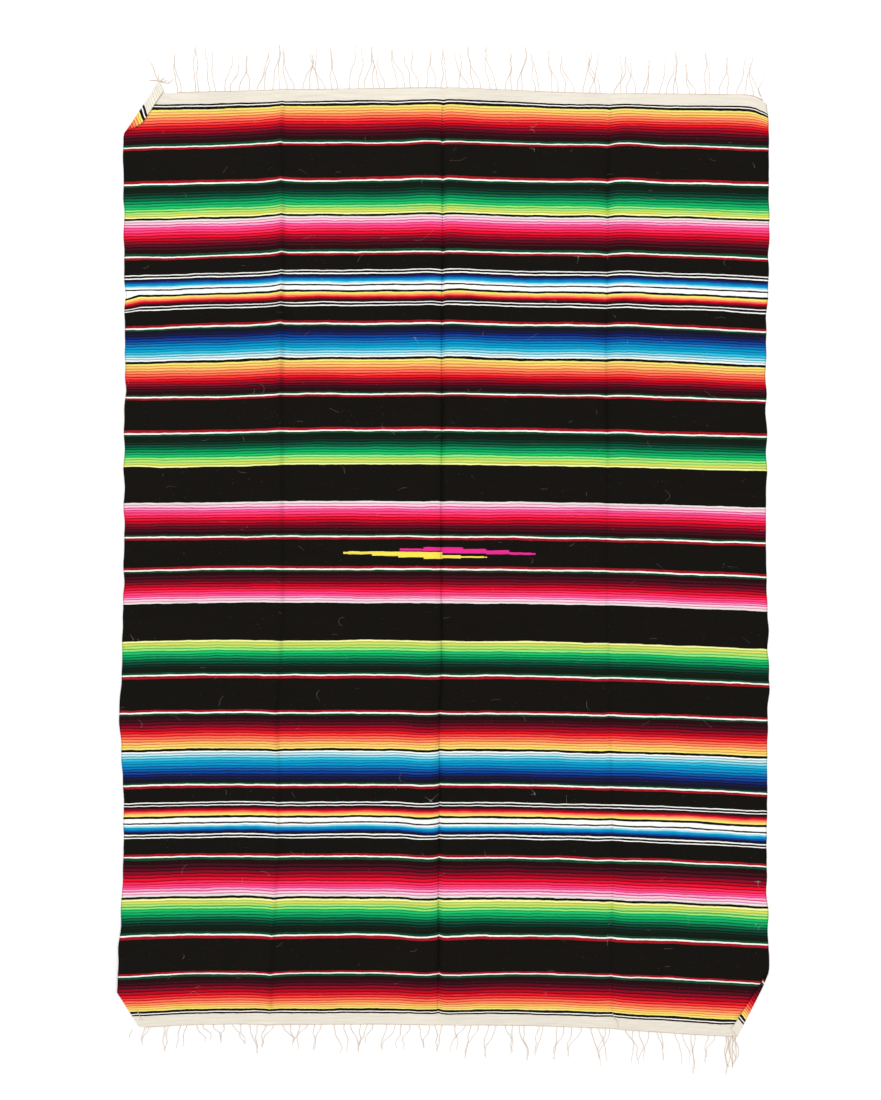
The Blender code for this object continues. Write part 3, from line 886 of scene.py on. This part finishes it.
def finish_yarn(curve, material):
    """Turns the yarns into one mesh that rides with the cloth."""
    bpy.ops.object.select_all(action="DESELECT")
    curve.select_set(True)
    bpy.context.view_layer.objects.active = curve
    bpy.ops.object.convert(target="MESH")
    bpy.ops.object.shade_smooth_by_angle(angle=math.radians(60))
    made = bpy.context.object
    made.data.materials.clear()
    made.data.materials.append(material)
    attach(made, "root")
    return made


cotton, tree, shader = new_material("cotton warp", roughness=0.85, shine=0.1)
position = tree.nodes.new("ShaderNodeTexCoord")
mottle = tree.nodes.new("ShaderNodeTexNoise")
mottle.inputs["Scale"].default_value = 60
feed(mottle.inputs["Vector"], position.outputs["Object"])
cotton_colour = blend(mottle.outputs["Fac"], linear(DYES["grey cotton"]), linear(DYES["clean cotton"]))
feed(shader.inputs["Base Color"], cotton_colour)
twist = tree.nodes.new("ShaderNodeTexWave")
twist.bands_direction = "DIAGONAL"
twist.inputs["Scale"].default_value = 330
feed(twist.inputs["Vector"], position.outputs["Object"])
bump = tree.nodes.new("ShaderNodeBump")
bump.inputs["Strength"].default_value = 0.5
bump.inputs["Distance"].default_value = 0.0003
feed(bump.inputs["Height"], twist.outputs["Fac"])
feed(shader.inputs["Normal"], bump.outputs[0])

for name, end, first, last, pairs, reach_left, reach_right, reach_uneven in FRINGES:
    curve = yarn_curve(f"{name}_yarns")
    roots = strand_roots(first, last, pairs)
    for pair, (left_root, right_root) in enumerate(roots):
        span = reach_left + (reach_right - reach_left) * pair / (pairs - 1)
        reach = span + reach_uneven * uneven(pair, 4)
        middle = (left_root + right_root) / 2 + LEAN * uneven(pair, 3)
        habit = uneven(pair, 10)
        tip_gap = CROSSED if habit < CROSSED_BELOW else APART if habit > APART_ABOVE else JOINED
        meets = MEET + MEET_UNEVEN * uneven(pair, 9)
        knot = meets if uneven(pair, 13) > KNOTTED_ABOVE and tip_gap == JOINED else None
        for root, side in ((left_root, -1), (right_root, 1)):
            add_yarn(curve, strand_points(pair, side, root, end, reach, middle, tip_gap, meets), knot=knot)
    for stray in STRAY_YARNS:
        if stray[1] * end > 0:
            add_yarn(curve, stray_points(*stray), thickness=stray[5])
    for side in (-1, 1):
        add_yarn(curve, twined_points(first, roots[-1][1], end, side), thickness=TWINE_THICK, tip=1.0)
    made = finish_yarn(curve, cotton)
    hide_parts(name)

# Studio
# A plain pale floor, a soft low light from the left, a lamp over the far end and an even room light, seen
# from straight above.
FLOOR_SIZE = 14
FLOOR_DROP = 0.0003
ROOM_LIGHT = 0.71
SUN_WIDTH = math.radians(30)
PIXEL = 2.285 * MM  # of the photo, at the floor
PHOTO_WIDTH = 881
PHOTO_HEIGHT = 1100
CLOTH_MIDDLE_PIXEL = (443.4, 553.5)
CAMERA_HEIGHT = 2.3
SENSOR_HEIGHT = 24

bpy.ops.object.select_all(action="DESELECT")
bpy.ops.mesh.primitive_plane_add(size=FLOOR_SIZE, location=(0, 0, -FLOOR_DROP))
floor = bpy.context.object
floor.name = "studio_floor"
paint, tree, shader = new_material("floor paint", roughness=0.9, shine=0.1)
shader.inputs["Base Color"].default_value = (0.93, 0.93, 0.93, 1)
floor.data.materials.append(paint)

world = bpy.data.worlds.new("room")
bpy.context.scene.world = world
world.use_nodes = True
world.node_tree.nodes["Background"].inputs[0].default_value = (1, 1, 1, 1)
world.node_tree.nodes["Background"].inputs[1].default_value = ROOM_LIGHT

# Lamps that reach everything alike. Columns: x, y and z that they shine from, how bright.
for place, strength in (((-1.6, 0.3, 3), 1.13), ((5, -0.4, 3), 0.6)):
    bpy.ops.object.light_add(type="SUN", location=place)
    lamp = bpy.context.object
    lamp.data.energy = strength
    lamp.data.angle = SUN_WIDTH
    lamp.rotation_euler = (-Vector(place)).to_track_quat("-Z", "Y").to_euler()

bpy.ops.object.light_add(type="AREA", location=(-0.2, 2.6, 3))
far_lamp = bpy.context.object
far_lamp.data.size = 1.6
far_lamp.data.energy = 17
far_lamp.rotation_euler = (Vector((0, 0.6, 0)) - far_lamp.location).to_track_quat("-Z", "Y").to_euler()

bpy.ops.object.camera_add(
    location=(
        cloth_middle.x + ((PHOTO_WIDTH - 1) / 2 - CLOTH_MIDDLE_PIXEL[0]) * PIXEL,
        cloth_middle.y - ((PHOTO_HEIGHT - 1) / 2 - CLOTH_MIDDLE_PIXEL[1]) * PIXEL,
        CAMERA_HEIGHT,
    )
)
camera = bpy.context.object
camera.data.sensor_fit = "VERTICAL"
camera.data.sensor_height = SENSOR_HEIGHT
camera.data.lens = CAMERA_HEIGHT * SENSOR_HEIGHT / (PHOTO_HEIGHT * PIXEL)
bpy.context.scene.camera = camera
bpy.context.scene.view_settings.view_transform = "Standard"
